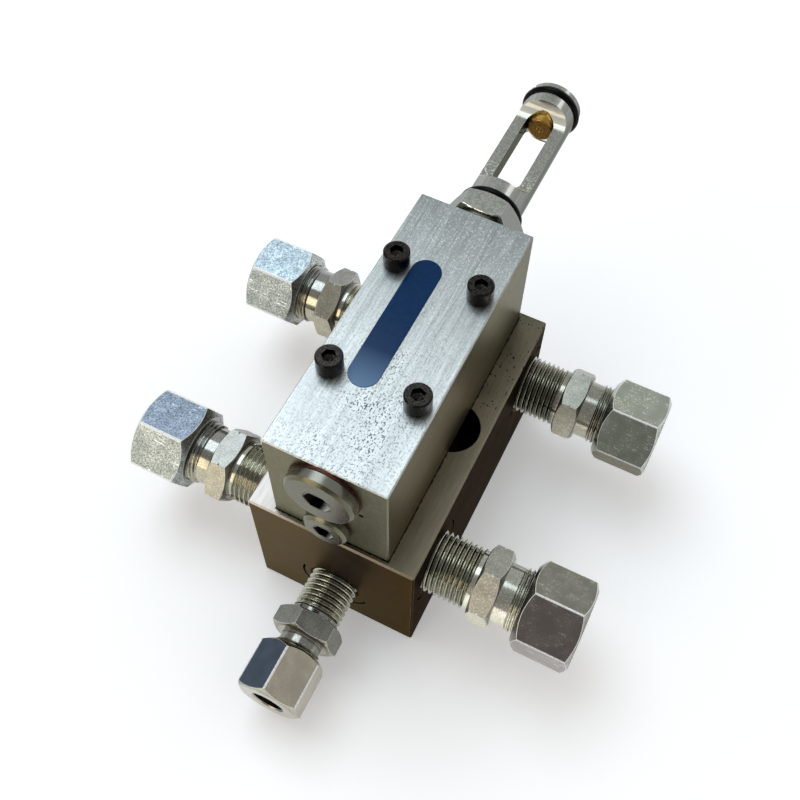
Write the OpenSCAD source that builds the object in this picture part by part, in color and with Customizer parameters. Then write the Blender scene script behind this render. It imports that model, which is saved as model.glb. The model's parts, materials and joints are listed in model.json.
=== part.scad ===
// Dual-line lubrication distributor: a metering block screwed on a manifold base
// with two through supply lines, one outlet and a slotted stroke indicator.
// X runs across the block, Y from the plugged front to the indicator, Z up.
// The origin is the centre of the base underside, which the object rests on.

/* [Metering block] */
// width across X
block_width = 40; // [38:0.5:48]
// length along Y
block_length = 102.5; // [98:0.5:120]
// height above the base
block_height = 46; // [46:0.5:56]
// broken edge of the block
block_chamfer = 0.4; // [0.2:0.1:0.8]
// diameter of the metering bore
metering_bore = 16; // [12:0.5:16]
// depth of the metering bore below the block top
metering_depth = 12; // [12:0.5:13]
// diameter of the pilot bore
pilot_bore = 10; // [8:0.5:11]
// height of the pilot bore above the block underside
pilot_height = 10.5; // [10:0.5:12]

/* [Manifold base] */
// width across X
base_width = 59; // [58:0.5:66]
// height of the base
base_height = 57.5; // [54:0.5:66]
// base showing in front of the block
front_step = 1.8; // [1:0.1:4]
// base showing behind the block
rear_step = 2.7; // [1:0.1:6]
// broken edge of the base
base_chamfer = 0.6; // [0.3:0.1:1]
// distance of the front supply line from the base front
front_line_inset = 17; // [16:0.5:20]
// distance of the rear supply line from the base back
rear_line_inset = 13.4; // [13:0.2:18]
// height of both supply lines
line_height = 35.3; // [34:0.1:36]
// diameter of the drilled supply lines
line_bore = 11; // [8:0.5:12]
// height of the outlet port
outlet_height = 19.6; // [16:0.2:19.6]
// diameter of the outlet passage
outlet_bore = 7; // [5:0.5:7]
// diameter of the drilled risers
riser_bore = 4; // [3:0.5:4]
// distance of the mounting holes from the middle
mount_hole_offset = 17.3; // [17:0.1:18]
// diameter of the mounting holes
mount_hole = 13; // [11:0.5:13.5]
// diameter of the mounting counterbores
mount_counterbore = 19; // [17:0.5:19]
// depth of the mounting counterbores
mount_counterbore_depth = 14; // [10:0.5:20]

/* [Cap screws] */
// screw spacing across X
screw_pitch_x = 28.6; // [28:0.2:30]
// screw spacing along Y
screw_pitch_y = 43; // [40:0.5:60]
// nominal screw diameter
screw_size = 5; // [4:0.5:5]
// head diameter
screw_head = 8.5; // [8.5:0.1:10]
// head height
screw_head_height = 5; // [4:0.5:6]
// key size of the socket
screw_socket = 4; // [3:0.5:4]
// reach into the base
screw_reach = 12.7; // [8:0.1:16]
// lock washer thickness
lock_washer_height = 1.3; // [0.8:0.1:2]

/* [Plugs] */
// thread diameter of the end plug
plug_thread = 18; // [17:0.5:19]
// flange diameter of the end plug
plug_flange = 23; // [21:0.5:24]
// flange height of the end plug
plug_flange_height = 4; // [2.5:0.5:6]
// key size of the end plug
plug_socket = 8; // [6:0.5:10]
// thread diameter of the pilot plugs
pilot_plug_thread = 12; // [11.5:0.5:12.5]
// flange diameter of the pilot plugs
pilot_plug_flange = 15; // [14:0.5:16]
// flange height of the pilot plugs
pilot_plug_flange_height = 3; // [2:0.5:4]
// key size of the pilot plugs
pilot_plug_socket = 6; // [4:0.5:6]
// copper washer thickness
plug_washer_height = 1; // [0.8:0.1:1.5]

/* [Indicator] */
// size across the flats of the gland hexagon
gland_hex = 24; // [23:0.5:26]
// length of the gland hexagon
gland_hex_length = 9.1; // [8:0.1:14]
// diameter of the cage
cage_diameter = 19.9; // [19.5:0.1:21]
// distance from the hexagon to the milled flats
collar_length = 8.9; // [6:0.1:14]
// length of the milled flats
flat_length = 41.4; // [38:0.1:50]
// radius of the cutter that rounds both ends of the flats
flat_fillet = 6; // [3:0.5:8]
// thickness left between the flats
flat_thickness = 7; // [6:0.5:9]
// width of the slot through the cage
slot_width = 10.4; // [10.2:0.1:11]
// length of the end head with its O-ring groove
head_length = 10; // [9:0.2:14]
// diameter of the indicator rod
rod_diameter = 6; // [5:0.5:7]
// travel of the metering piston
metering_stroke = 30; // [20:1:30]
// travel of the pilot piston
pilot_stroke = 10; // [6:0.5:10]
// travel of the stop screw
stop_stroke = 4; // [2:0.5:5]
// diameter of the stop screw
stop_diameter = 9.9; // [8:0.1:9.9]

/* [Line fittings] */
// thread diameter of the line studs
line_thread = 21.3; // [20:0.1:22]
// thread showing outside the base
line_thread_showing = 14; // [8:0.1:18]
// body hexagon across flats
line_hex = 24; // [23:0.5:27]
// body hexagon length
line_hex_length = 8.1; // [6:0.1:12]
// union nut thread diameter
line_nut_thread = 22; // [21.5:0.1:22.5]
// union nut across flats
line_nut_hex = 28; // [26:0.5:30]
// union nut length
line_nut_length = 20.4; // [19:0.1:24]
// tube outside diameter
line_tube = 15; // [14:0.5:15]

/* [Outlet fitting] */
// thread diameter of the outlet stud
outlet_thread = 17.1; // [16:0.1:17.1]
// thread showing outside the base
outlet_thread_showing = 12.9; // [8:0.1:16]
// body hexagon across flats
outlet_hex = 21; // [20:0.5:24]
// body hexagon length
outlet_hex_length = 7.5; // [6:0.1:12]
// union nut thread diameter
outlet_nut_thread = 16; // [15.5:0.1:16.5]
// union nut across flats
outlet_nut_hex = 21; // [20:0.5:24]
// union nut length
outlet_nut_length = 17.8; // [17:0.1:22]
// tube outside diameter
outlet_tube = 10; // [9:0.5:10]

/* [Fits] */
// radial clearance of sliding pistons and rods
running_clearance = 0.03; // [0.02:0.01:0.08]
// radial clearance of plain threads
thread_clearance = 0.05; // [0.02:0.01:0.1]

/* [Hidden] */
$fn = 96;

// overlap that lets cutting tools pass through a face
cut = 1;
base_length = block_length + front_step + rear_step;
base_front = -base_length / 2;
base_back = base_length / 2;
block_front = base_front + front_step;
block_back = block_front + block_length;
block_mid = (block_front + block_back) / 2;
block_top = base_height + block_height;
metering_z = block_top - metering_depth;
washer_overhang = 0.3;
plug_spacing = (plug_flange + pilot_plug_flange) / 2 + 2 * washer_overhang + 0.3;
pilot_z = min(base_height + pilot_height, metering_z - plug_spacing);

// passages
front_line_y = base_front + front_line_inset;
rear_line_y = base_back - rear_line_inset;
front_riser_y = front_line_y;
rear_riser_y = rear_line_y - (line_bore - riser_bore) / 2;
cross_spacing = 11.5;
front_cross_y = front_riser_y + cross_spacing;
rear_cross_y = rear_riser_y - cross_spacing;
port_y = [front_riser_y, front_cross_y, 0, rear_cross_y, rear_riser_y];
seal_cord = 1.5;
seal_outside = 9;
mark_hole = 1;
mark_hole_depth = 2;
mark_hole_x = 11.2;
mark_hole_drop = 8;
mark_hole_z = metering_z - mark_hole_drop;

// screws and threads
screw_gap = 0.25;
screw_hole_depth = screw_reach + 2.5;
lock_washer_outside = screw_head - 0.5;
lock_washer_split = 0.7;
plug_thread_length = 13;
pilot_plug_thread_length = 10;
gland_thread_length = 12;
thread_bevel = 0.8;
plug_bevel = 1;
stud_reach = 10;
stud_hole_extra = 3;

// gland and cage, stations along Y
gland_washer_height = 1.5;
gland_washer_outside = 22;
hex_start = block_back + gland_washer_height;
hex_end = hex_start + gland_hex_length;
ring_cord = 3;
ring_groove = 3.4;
near_ring_outside = cage_diameter + 3.4;
far_ring_outside = cage_diameter + 2.2;
near_ring_seat = near_ring_outside - 2 * ring_cord;
far_ring_seat = far_ring_outside - 2 * ring_cord;
collar_start = hex_end + ring_groove;
flat_start = hex_end + collar_length;
flat_end = flat_start + flat_length;
head_end = flat_end + head_length;
end_flange = 2.3;
far_groove = head_end - end_flange - ring_groove;
slot_start = flat_start + 1.7;
slot_end = flat_end - 0.9;
driver_slot = 2;
driver_slot_turn = 35;
rod_seal_cord = 2.2;
rod_seal_outside = rod_diameter + 2 * rod_seal_cord + 2 * running_clearance;
rod_seal_inset = 4;
rod_seal_y = block_back - gland_thread_length + rod_seal_inset;

// pistons
rest_gap = 1;
piston_length = block_length - plug_thread_length - gland_thread_length
  - metering_stroke - 2 * rest_gap;
piston_front = block_front + plug_thread_length + rest_gap;
piston_back = piston_front + piston_length;
spigot_diameter = 4;
spigot_length = 9;
spigot_clearance = 0.02;
rod_showing = 4.5;
rod_tip = flat_start + rod_showing;
stop_gap = 2.2;
stop_start = rod_tip + metering_stroke + stop_gap;
stop_end = head_end - 1;
pilot_length = block_length - 2 * pilot_plug_thread_length - pilot_stroke - 2 * rest_gap;
pilot_front = block_front + pilot_plug_thread_length + rest_gap;
pilot_back = pilot_front + pilot_length;
pilot_land = 12;
pilot_waist = 0.6 * pilot_bore;

// label
label_width = 10;
label_length = 50.8;
label_height = 0.3;
label_x = -4.4;
label_y = 1.3;

// fittings, stations outward from the base face
collar_run = 1.6;
collar_drop = 0.8;
neck_drop = 1.6;
// inner end of a nut: face across as a share of the flats, and slope of its bevel
nut_face = 0.905;
nut_slope = 36;
line_gap = 8;
line_neck_length = 4.6;
line_hex_at = line_thread_showing + collar_run;
line_hex_end = line_hex_at + line_hex_length;
line_nut_at = line_hex_end + line_gap;
line_nut_end = line_nut_at + line_nut_length;
mouth_set_back = 1;
line_mouth = line_nut_at + line_nut_length / 2 - mouth_set_back;
outlet_gap = 4.5;
outlet_neck_length = 3;
outlet_hex_at = outlet_thread_showing + collar_run;
outlet_hex_end = outlet_hex_at + outlet_hex_length;
outlet_nut_at = outlet_hex_end + outlet_gap;
outlet_nut_end = outlet_nut_at + outlet_nut_length;
outlet_mouth = outlet_nut_at + outlet_nut_length / 2 - mouth_set_back;
// how much further out than drawn each line fitting was stopped when it was tightened
front_right_out = 0.5;
front_left_out = -0.8;
rear_right_out = -0.7;
rear_left_out = 0.1;
tick_width = 0.5;
tick_depth = 0.4;
socket_depth = 7;
cone_length = 4.7;
cone_slope = tan(12);
tube_gap = 0.15;
nut_gap = 0.45;
ring_front = 4;
ring_body = 3;
ring_back = 1.5;

// rounded and chamfered building blocks
module chamfered_rect(a, b, c)
  polygon([[-a / 2 + c, -b / 2], [a / 2 - c, -b / 2], [a / 2, -b / 2 + c],
    [a / 2, b / 2 - c], [a / 2 - c, b / 2], [-a / 2 + c, b / 2],
    [-a / 2, b / 2 - c], [-a / 2, -b / 2 + c]]);

module chamfered_box(size, c) {
  intersection() {
    linear_extrude(size[2], center = true)
      chamfered_rect(size[0], size[1], c);
    rotate([90, 0, 0])
      linear_extrude(size[1], center = true)
        chamfered_rect(size[0], size[2], c);
    rotate([90, 0, 90])
      linear_extrude(size[0], center = true)
        chamfered_rect(size[1], size[2], c);
  }
}

// round bar along Y between two stations
module bar_y(y1, y2, d1, d2)
  translate([0, y1, 0])
    rotate([-90, 0, 0])
      cylinder(h = y2 - y1, d1 = d1, d2 = d2);

// round bar along Z between two heights
module bar_z(z1, z2, d1, d2)
  translate([0, 0, z1])
    cylinder(h = z2 - z1, d1 = d1, d2 = d2);

// hexagon along Z, both ends turned down to a bevel; face1 and slope1 set the z1 end
module bevelled_hex(z1, z2, flats, face1 = 0.95, slope1 = 30) {
  corner = flats / cos(30);
  wide = corner + 1;
  near = face1 * flats;
  far = 0.95 * flats;
  near_drop = (wide - near) / 2 * tan(slope1);
  far_drop = (wide - far) / 2 * tan(30);
  intersection() {
    translate([0, 0, z1])
      cylinder(h = z2 - z1, d = corner, $fn = 6);
    rotate_extrude()
      polygon([[0, z1], [near / 2, z1], [wide / 2, z1 + near_drop],
        [wide / 2, z2 - far_drop], [far / 2, z2], [0, z2]]);
  }
}

// fine groove turned across the corners of a hexagon, centred on z = 0
module corner_tick(flats) {
  corner = flats / cos(30);
  difference() {
    bar_z(-tick_width / 2, tick_width / 2, corner + cut, corner + cut);
    bar_z(-tick_width, tick_width, corner - 2 * tick_depth, corner - 2 * tick_depth);
  }
}

// hexagonal key recess along Z, open at z2, with a drill point below z1
module key_recess(z1, z2, flats) {
  corner = flats / cos(30);
  translate([0, 0, z1])
    cylinder(h = z2 - z1, d = corner, $fn = 6);
  bar_z(z1 - flats / 4, z1, 0.2, flats);
}

// O-ring about Z
module o_ring(outside, cord)
  rotate_extrude()
    translate([(outside - cord) / 2, 0])
      circle(d = cord);

// flat ring about Z standing on z = 0
module flat_ring(outside, inside, height) {
  difference() {
    cylinder(h = height, d = outside);
    bar_z(-cut, height + cut, inside, inside);
  }
}

module metering_block() {
  color("silver")
    difference() {
      translate([0, block_mid, base_height + block_height / 2])
        chamfered_box([block_width, block_length, block_height], block_chamfer);
      // metering bore with the plug thread in front and the gland thread behind
      translate([0, 0, metering_z]) {
        bar_y(block_front - cut, block_back + cut, metering_bore, metering_bore);
        bar_y(block_front - cut, block_front + plug_thread_length + 0.5,
          plug_thread + 2 * thread_clearance, plug_thread + 2 * thread_clearance);
        bar_y(block_back - gland_thread_length - 0.5, block_back + cut,
          plug_thread + 2 * thread_clearance, plug_thread + 2 * thread_clearance);
      }
      // pilot bore, threaded at both ends
      translate([0, 0, pilot_z]) {
        bar_y(block_front - cut, block_back + cut, pilot_bore, pilot_bore);
        bar_y(block_front - cut, block_front + pilot_plug_thread_length + 0.5,
          pilot_plug_thread + 2 * thread_clearance,
          pilot_plug_thread + 2 * thread_clearance);
        bar_y(block_back - pilot_plug_thread_length - 0.5, block_back + cut,
          pilot_plug_thread + 2 * thread_clearance,
          pilot_plug_thread + 2 * thread_clearance);
      }
      // drilled passages and their seal seats in the underside
      for (y = port_y)
        translate([0, y, 0]) {
          bar_z(base_height - cut, pilot_z, riser_bore, riser_bore);
          bar_z(base_height - cut, base_height + seal_cord, seal_outside, seal_outside);
        }
      // cross passages run on up into the metering bore
      for (y = [front_cross_y, rear_cross_y])
        translate([0, y, 0])
          bar_z(pilot_z, metering_z, riser_bore, riser_bore);
      // screw holes
      for (x = [-1, 1], y = [-1, 1])
        translate([x * screw_pitch_x / 2, block_mid + y * screw_pitch_y / 2, 0])
          bar_z(base_height - cut, block_top + cut,
            screw_size + 2 * screw_gap, screw_size + 2 * screw_gap);
      // small blind hole in the front face
      translate([mark_hole_x, 0, mark_hole_z])
        bar_y(block_front - cut, block_front + mark_hole_depth, mark_hole, mark_hole);
    }
}

// stepped hole for a male stud, open at z = 0 and cut downward
module stud_hole(thread) {
  d = thread + 2 * thread_clearance;
  bar_z(-stud_reach - stud_hole_extra, cut, d, d);
  bar_z(-thread_bevel, 0.01, d, d + 2 * thread_bevel);
}

module manifold_base() {
  color("darkgray")
    difference() {
      translate([0, 0, base_height / 2])
        chamfered_box([base_width, base_length, base_height], base_chamfer);
      // supply lines with a threaded port at each side
      for (y = [front_line_y, rear_line_y])
        translate([0, y, line_height]) {
          rotate([0, 90, 0])
            bar_z(-base_width / 2 - cut, base_width / 2 + cut, line_bore, line_bore);
          for (side = [-1, 1])
            translate([side * base_width / 2, 0, 0])
              rotate([0, side * 90, 0])
                stud_hole(line_thread);
        }
      // risers from the supply lines to the block
      for (y = [front_riser_y, rear_riser_y])
        translate([0, y, 0])
          bar_z(line_height, base_height + cut, riser_bore, riser_bore);
      // outlet passage and port
      translate([0, 0, outlet_height])
        bar_y(base_front - cut, outlet_bore / 2, outlet_bore, outlet_bore);
      bar_z(outlet_height, base_height + cut, riser_bore, riser_bore);
      translate([0, base_front, outlet_height])
        rotate([90, 0, 0])
          stud_hole(outlet_thread);
      // counterbored mounting holes, partly under the block
      for (side = [-1, 1])
        translate([side * mount_hole_offset, 0, 0]) {
          bar_z(-cut, base_height + cut, mount_hole, mount_hole);
          bar_z(base_height - mount_counterbore_depth, base_height + cut,
            mount_counterbore, mount_counterbore);
        }
      // tapped holes for the cap screws
      for (x = [-1, 1], y = [-1, 1])
        translate([x * screw_pitch_x / 2, block_mid + y * screw_pitch_y / 2, 0])
          bar_z(base_height - screw_hole_depth, base_height + cut,
            screw_size + 2 * thread_clearance, screw_size + 2 * thread_clearance);
    }
}

module metering_piston() {
  d = metering_bore - 2 * running_clearance;
  bevel = 0.6;
  groove = 0.8;
  color("lightgray")
    translate([0, 0, metering_z])
      difference() {
        union() {
          bar_y(piston_front, piston_front + bevel, d - 2 * bevel, d);
          bar_y(piston_front + bevel, piston_back - bevel, d, d);
          bar_y(piston_back - bevel, piston_back, d, d - 2 * bevel);
        }
        // balance grooves
        for (k = [1:4])
          translate([0, piston_front + k * piston_length / 5, 0])
            difference() {
              bar_y(-groove / 2, groove / 2, d + cut, d + cut);
              bar_y(-groove, groove, d - groove, d - groove);
            }
        // seat of the rod spigot
        bar_y(piston_back - spigot_length - 0.5, piston_back + cut,
          spigot_diameter + 2 * spigot_clearance, spigot_diameter + 2 * spigot_clearance);
      }
}

module indicator_rod() {
  bevel = 0.8;
  color("lightgray")
    translate([0, 0, metering_z]) {
      bar_y(piston_back - spigot_length, piston_back, spigot_diameter, spigot_diameter);
      bar_y(piston_back, rod_tip - bevel, rod_diameter, rod_diameter);
      bar_y(rod_tip - bevel, rod_tip, rod_diameter, rod_diameter - 2 * bevel);
    }
}

module pilot_piston() {
  d = pilot_bore - 2 * running_clearance;
  mid = (pilot_front + pilot_back) / 2;
  color("lightgray")
    translate([0, 0, pilot_z]) {
      bar_y(pilot_front, pilot_front + pilot_land, d, d);
      bar_y(mid - pilot_land / 2, mid + pilot_land / 2, d, d);
      bar_y(pilot_back - pilot_land, pilot_back, d, d);
      bar_y(pilot_front + pilot_land, mid - pilot_land / 2, pilot_waist, pilot_waist);
      bar_y(mid + pilot_land / 2, pilot_back - pilot_land, pilot_waist, pilot_waist);
    }
}

// flanged plug along Z, flange seat at z = 0, thread downward
module flanged_plug(thread, thread_length, flange, flange_height, key) {
  bevel = plug_bevel;
  difference() {
    union() {
      bar_z(-thread_length, -thread_length + thread_bevel, thread - 2 * thread_bevel, thread);
      bar_z(-thread_length + thread_bevel, 0, thread, thread);
      bar_z(0, flange_height - bevel, flange, flange);
      bar_z(flange_height - bevel, flange_height, flange, flange - 2 * bevel);
    }
    key_recess(flange_height - 0.9 * key, flange_height + cut, key);
  }
}

module end_plug() {
  color("lightgray")
    translate([0, block_front - plug_washer_height, metering_z])
      rotate([90, 0, 0])
        flanged_plug(plug_thread, plug_thread_length + plug_washer_height,
          plug_flange, plug_flange_height, plug_socket);
}

module end_plug_washer() {
  color("chocolate")
    translate([0, block_front, metering_z])
      rotate([90, 0, 0])
        flat_ring(plug_flange + 2 * washer_overhang, plug_thread + 4 * thread_clearance,
          plug_washer_height);
}

// pilot plug with its seat at z = 0
module pilot_plug()
  flanged_plug(pilot_plug_thread, pilot_plug_thread_length + plug_washer_height,
    pilot_plug_flange, pilot_plug_flange_height, pilot_plug_socket);

// copper washer of a pilot plug
module pilot_washer()
  flat_ring(pilot_plug_flange + 2 * washer_overhang,
    pilot_plug_thread + 4 * thread_clearance, plug_washer_height);

module pilot_plug_front() {
  color("lightgray")
    translate([0, block_front - plug_washer_height, pilot_z])
      rotate([90, 0, 0])
        pilot_plug();
}

module pilot_washer_front() {
  color("chocolate")
    translate([0, block_front, pilot_z])
      rotate([90, 0, 0])
        pilot_washer();
}

module pilot_plug_rear() {
  color("lightgray")
    translate([0, block_back + plug_washer_height, pilot_z])
      rotate([-90, 0, 0])
        pilot_plug();
}

module pilot_washer_rear() {
  color("chocolate")
    translate([0, block_back, pilot_z])
      rotate([-90, 0, 0])
        pilot_washer();
}

// slotted window of the cage, cut downward through both flats
module cage_slot() {
  translate([0, 0, -cage_diameter / 2]) {
    translate([-slot_width / 2, slot_start + slot_width / 2, 0])
      cube([slot_width, slot_end - slot_start - slot_width, cage_diameter]);
    for (y = [slot_start + slot_width / 2, slot_end - slot_width / 2])
      translate([0, y, 0])
        cylinder(h = cage_diameter, d = slot_width);
  }
}

// room left by the cutter that mills the upper flat, its ends rounded
module milled_flat()
  rotate([90, 0, 90])
    linear_extrude(2 * cage_diameter, center = true)
      translate([0, flat_thickness / 2])
        union() {
          translate([flat_start + flat_fillet, 0])
            square([flat_length - 2 * flat_fillet, cage_diameter]);
          translate([flat_start, flat_fillet])
            square([flat_length, cage_diameter]);
          for (y = [flat_start + flat_fillet, flat_end - flat_fillet])
            translate([y, flat_fillet])
              circle(flat_fillet);
        }

module indicator_cage() {
  bevel = 0.5;
  rod_bore = rod_diameter + 2 * running_clearance;
  stop_bore = stop_diameter + 2 * thread_clearance;
  color("gainsboro")
    translate([0, 0, metering_z])
      difference() {
        union() {
          bar_y(block_back - gland_thread_length, block_back - gland_thread_length + thread_bevel,
            plug_thread - 2 * thread_bevel, plug_thread);
          bar_y(block_back - gland_thread_length + thread_bevel, hex_start + cut,
            plug_thread, plug_thread);
          translate([0, hex_start, 0])
            rotate([-90, 0, 0])
              bevelled_hex(0, gland_hex_length, gland_hex);
          bar_y(hex_end - cut, collar_start, near_ring_seat, near_ring_seat);
          bar_y(collar_start, far_groove, cage_diameter, cage_diameter);
          bar_y(far_groove, far_groove + ring_groove, far_ring_seat, far_ring_seat);
          bar_y(far_groove + ring_groove, head_end - bevel,
            cage_diameter + 0.6, cage_diameter + 0.6);
          bar_y(head_end - bevel, head_end, cage_diameter + 0.6, cage_diameter - 0.4);
        }
        milled_flat();
        mirror([0, 0, 1])
          milled_flat();
        cage_slot();
        // rod bore with the seal groove
        bar_y(block_back - gland_thread_length - cut, slot_start + slot_width / 2,
          rod_bore, rod_bore);
        bar_y(rod_seal_y, rod_seal_y + rod_seal_cord,
          rod_seal_outside, rod_seal_outside);
        // threaded bore of the stop screw and the driver slot across the end
        bar_y(slot_end - slot_width / 2, head_end + cut, stop_bore, stop_bore);
        translate([0, head_end - driver_slot, 0])
          rotate([0, driver_slot_turn, 0])
            translate([-cage_diameter, 0, -driver_slot / 2])
              cube([2 * cage_diameter, driver_slot + cut, driver_slot]);
      }
}

module gland_washer() {
  color("silver")
    translate([0, block_back, metering_z])
      rotate([-90, 0, 0])
        flat_ring(gland_washer_outside, plug_thread + 4 * thread_clearance,
          gland_washer_height);
}

module rod_seal() {
  color("black")
    translate([0, rod_seal_y + rod_seal_cord / 2, metering_z])
      rotate([-90, 0, 0])
        o_ring(rod_seal_outside, rod_seal_cord);
}

module cage_ring_near() {
  color("black")
    translate([0, hex_end + ring_groove / 2, metering_z])
      rotate([-90, 0, 0])
        o_ring(near_ring_outside, ring_cord);
}

module cage_ring_far() {
  color("black")
    translate([0, far_groove + ring_groove / 2, metering_z])
      rotate([-90, 0, 0])
        o_ring(far_ring_outside, ring_cord);
}

module stop_screw() {
  bevel = 0.6;
  color("goldenrod")
    translate([0, 0, metering_z])
      difference() {
        union() {
          bar_y(stop_start, stop_start + bevel, stop_diameter - 2 * bevel, stop_diameter);
          bar_y(stop_start + bevel, stop_end, stop_diameter, stop_diameter);
        }
        // centre dimple and driver slot
        bar_y(stop_start - 0.01, stop_start + 1.2, 2.4, 0.2);
        translate([-stop_diameter, stop_end - 1.5, -0.75])
          cube([2 * stop_diameter, 1.5 + cut, 1.5]);
      }
}

module name_label() {
  color("navy")
    translate([label_x, label_y, block_top])
      linear_extrude(label_height)
        union() {
          square([label_width, label_length - label_width], center = true);
          for (side = [-1, 1])
            translate([0, side * (label_length - label_width) / 2])
              circle(d = label_width);
        }
}

// cap screw with its head seat at z = 0
module cap_screw() {
  bevel = 0.5;
  shank = screw_reach + block_height + lock_washer_height;
  color("dimgray")
    difference() {
      union() {
        bar_z(-shank, -shank + bevel, screw_size - 2 * bevel, screw_size);
        bar_z(-shank + bevel, 0, screw_size, screw_size);
        bar_z(0, screw_head_height - bevel, screw_head, screw_head);
        bar_z(screw_head_height - bevel, screw_head_height, screw_head,
          screw_head - 2 * bevel);
      }
      key_recess(screw_head_height / 2, screw_head_height + cut, screw_socket);
    }
}

// split lock washer standing on z = 0
module lock_washer() {
  color("dimgray")
    difference() {
      flat_ring(lock_washer_outside, screw_size + 2 * thread_clearance, lock_washer_height);
      translate([0, -lock_washer_split / 2, -cut])
        cube([lock_washer_outside, lock_washer_split, lock_washer_height + 2 * cut]);
    }
}

// puts a screw part over the hole at the given side and end
module at_screw(side, end)
  translate([side * screw_pitch_x / 2, block_mid + end * screw_pitch_y / 2, block_top])
    children();

module cap_screw_fl()
  at_screw(-1, -1)
    translate([0, 0, lock_washer_height])
      rotate([0, 0, 15])
        cap_screw();

module cap_screw_fr()
  at_screw(1, -1)
    translate([0, 0, lock_washer_height])
      rotate([0, 0, 40])
        cap_screw();

module cap_screw_bl()
  at_screw(-1, 1)
    translate([0, 0, lock_washer_height])
      rotate([0, 0, 5])
        cap_screw();

module cap_screw_br()
  at_screw(1, 1)
    translate([0, 0, lock_washer_height])
      rotate([0, 0, 50])
        cap_screw();

module lock_washer_fl()
  at_screw(-1, -1)
    rotate([0, 0, -100])
      lock_washer();

module lock_washer_fr()
  at_screw(1, -1)
    rotate([0, 0, -60])
      lock_washer();

module lock_washer_bl()
  at_screw(-1, 1)
    rotate([0, 0, -130])
      lock_washer();

module lock_washer_br()
  at_screw(1, 1)
    rotate([0, 0, -80])
      lock_washer();

// face seal between base and block at one passage
module face_seal(y) {
  color("black")
    translate([0, y, base_height + seal_cord / 2])
      o_ring(seal_outside, seal_cord);
}

module seal_line_front()
  face_seal(port_y[0]);

module seal_cross_front()
  face_seal(port_y[1]);

module seal_outlet()
  face_seal(port_y[2]);

module seal_cross_rear()
  face_seal(port_y[3]);

module seal_line_rear()
  face_seal(port_y[4]);

// male stud body of a compression fitting, base face at z = 0
module stud(thread, showing, hex_at, hex_end, flats, neck_length, nut_thread, mouth, tube, bore) {
  neck = nut_thread - neck_drop;
  neck_end = hex_end + neck_length;
  socket = tube + 2 * tube_gap;
  color("lightgray")
    difference() {
      union() {
        bar_z(-stud_reach, -stud_reach + thread_bevel, thread - 2 * thread_bevel, thread);
        bar_z(-stud_reach + thread_bevel, showing, thread, thread);
        bar_z(showing, hex_at, thread - collar_drop, thread - collar_drop);
        bevelled_hex(hex_at, hex_end, flats);
        bar_z(hex_end, neck_end, neck, neck);
        bar_z(neck_end, mouth - thread_bevel, nut_thread, nut_thread);
        bar_z(mouth - thread_bevel, mouth, nut_thread, nut_thread - 2 * thread_bevel);
      }
      bar_z(-stud_reach - cut, mouth, bore, bore);
      bar_z(mouth - socket_depth, mouth + cut, socket, socket);
      bar_z(mouth - cone_length, mouth, socket, socket + 2 * cone_length * cone_slope);
    }
}

// union nut of a compression fitting
module union_nut(nut_at, nut_end, flats, nut_thread, mouth, tube) {
  seat = mouth + ring_body;
  inside = nut_thread + 2 * thread_clearance;
  hole = tube + 2 * nut_gap;
  shoulder = ring_shoulder(tube);
  mouth_bevel = 0.5;
  color("gainsboro")
    difference() {
      bevelled_hex(nut_at, nut_end, flats, nut_face, nut_slope);
      bar_z(nut_at - cut, seat - (inside - shoulder) / 2, inside, inside);
      bar_z(seat - (inside - shoulder) / 2, seat + (shoulder - hole) / 2, inside, hole);
      bar_z(seat, nut_end + cut, hole, hole);
      bar_z(nut_end - mouth_bevel, nut_end + 0.01, hole, hole + 2 * mouth_bevel);
    }
}

function ring_shoulder(tube) = tube + 3.6;

// cutting ring between the stud cone and the nut cone
module cutting_ring(mouth, tube) {
  inside = tube + 2 * tube_gap;
  shoulder = ring_shoulder(tube);
  seat = mouth + ring_body;
  color("gray")
    difference() {
      union() {
        bar_z(mouth - ring_front, mouth,
          inside + 2 * (cone_length - ring_front) * cone_slope,
          inside + 2 * cone_length * cone_slope);
        bar_z(mouth, seat, shoulder, shoulder);
        bar_z(seat, seat + ring_back, shoulder, shoulder - 2 * ring_back);
      }
      bar_z(mouth - ring_front - cut, seat + ring_back + cut, inside, inside);
    }
}

// puts a fitting part on a side port, moved outward
module at_line(side, y, out)
  translate([side * (base_width / 2 + out), y, line_height])
    rotate([0, side * 90, 0])
      children();

module line_stud() {
  difference() {
    stud(line_thread, line_thread_showing, line_hex_at, line_hex_end, line_hex,
      line_neck_length, line_nut_thread, line_mouth, line_tube, line_bore);
    translate([0, 0, (line_hex_at + line_hex_end) / 2])
      corner_tick(line_hex);
  }
}

module line_nut()
  union_nut(line_nut_at, line_nut_end, line_nut_hex, line_nut_thread, line_mouth, line_tube);

module line_ring()
  cutting_ring(line_mouth, line_tube);

module stud_front_right()
  at_line(1, front_line_y, front_right_out)
    rotate([0, 0, 7])
      line_stud();

module stud_front_left()
  at_line(-1, front_line_y, front_left_out)
    rotate([0, 0, 31])
      line_stud();

module stud_rear_right()
  at_line(1, rear_line_y, rear_right_out)
    rotate([0, 0, 38])
      line_stud();

module stud_rear_left()
  at_line(-1, rear_line_y, rear_left_out)
    rotate([0, 0, 57])
      line_stud();

module nut_front_right()
  at_line(1, front_line_y, front_right_out)
    rotate([0, 0, 6])
      line_nut();

module nut_front_left()
  at_line(-1, front_line_y, front_left_out)
    rotate([0, 0, 38])
      line_nut();

module nut_rear_right()
  at_line(1, rear_line_y, rear_right_out)
    rotate([0, 0, 19])
      line_nut();

module nut_rear_left()
  at_line(-1, rear_line_y, rear_left_out)
    rotate([0, 0, 30])
      line_nut();

module ring_front_right()
  at_line(1, front_line_y, front_right_out)
    line_ring();

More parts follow.
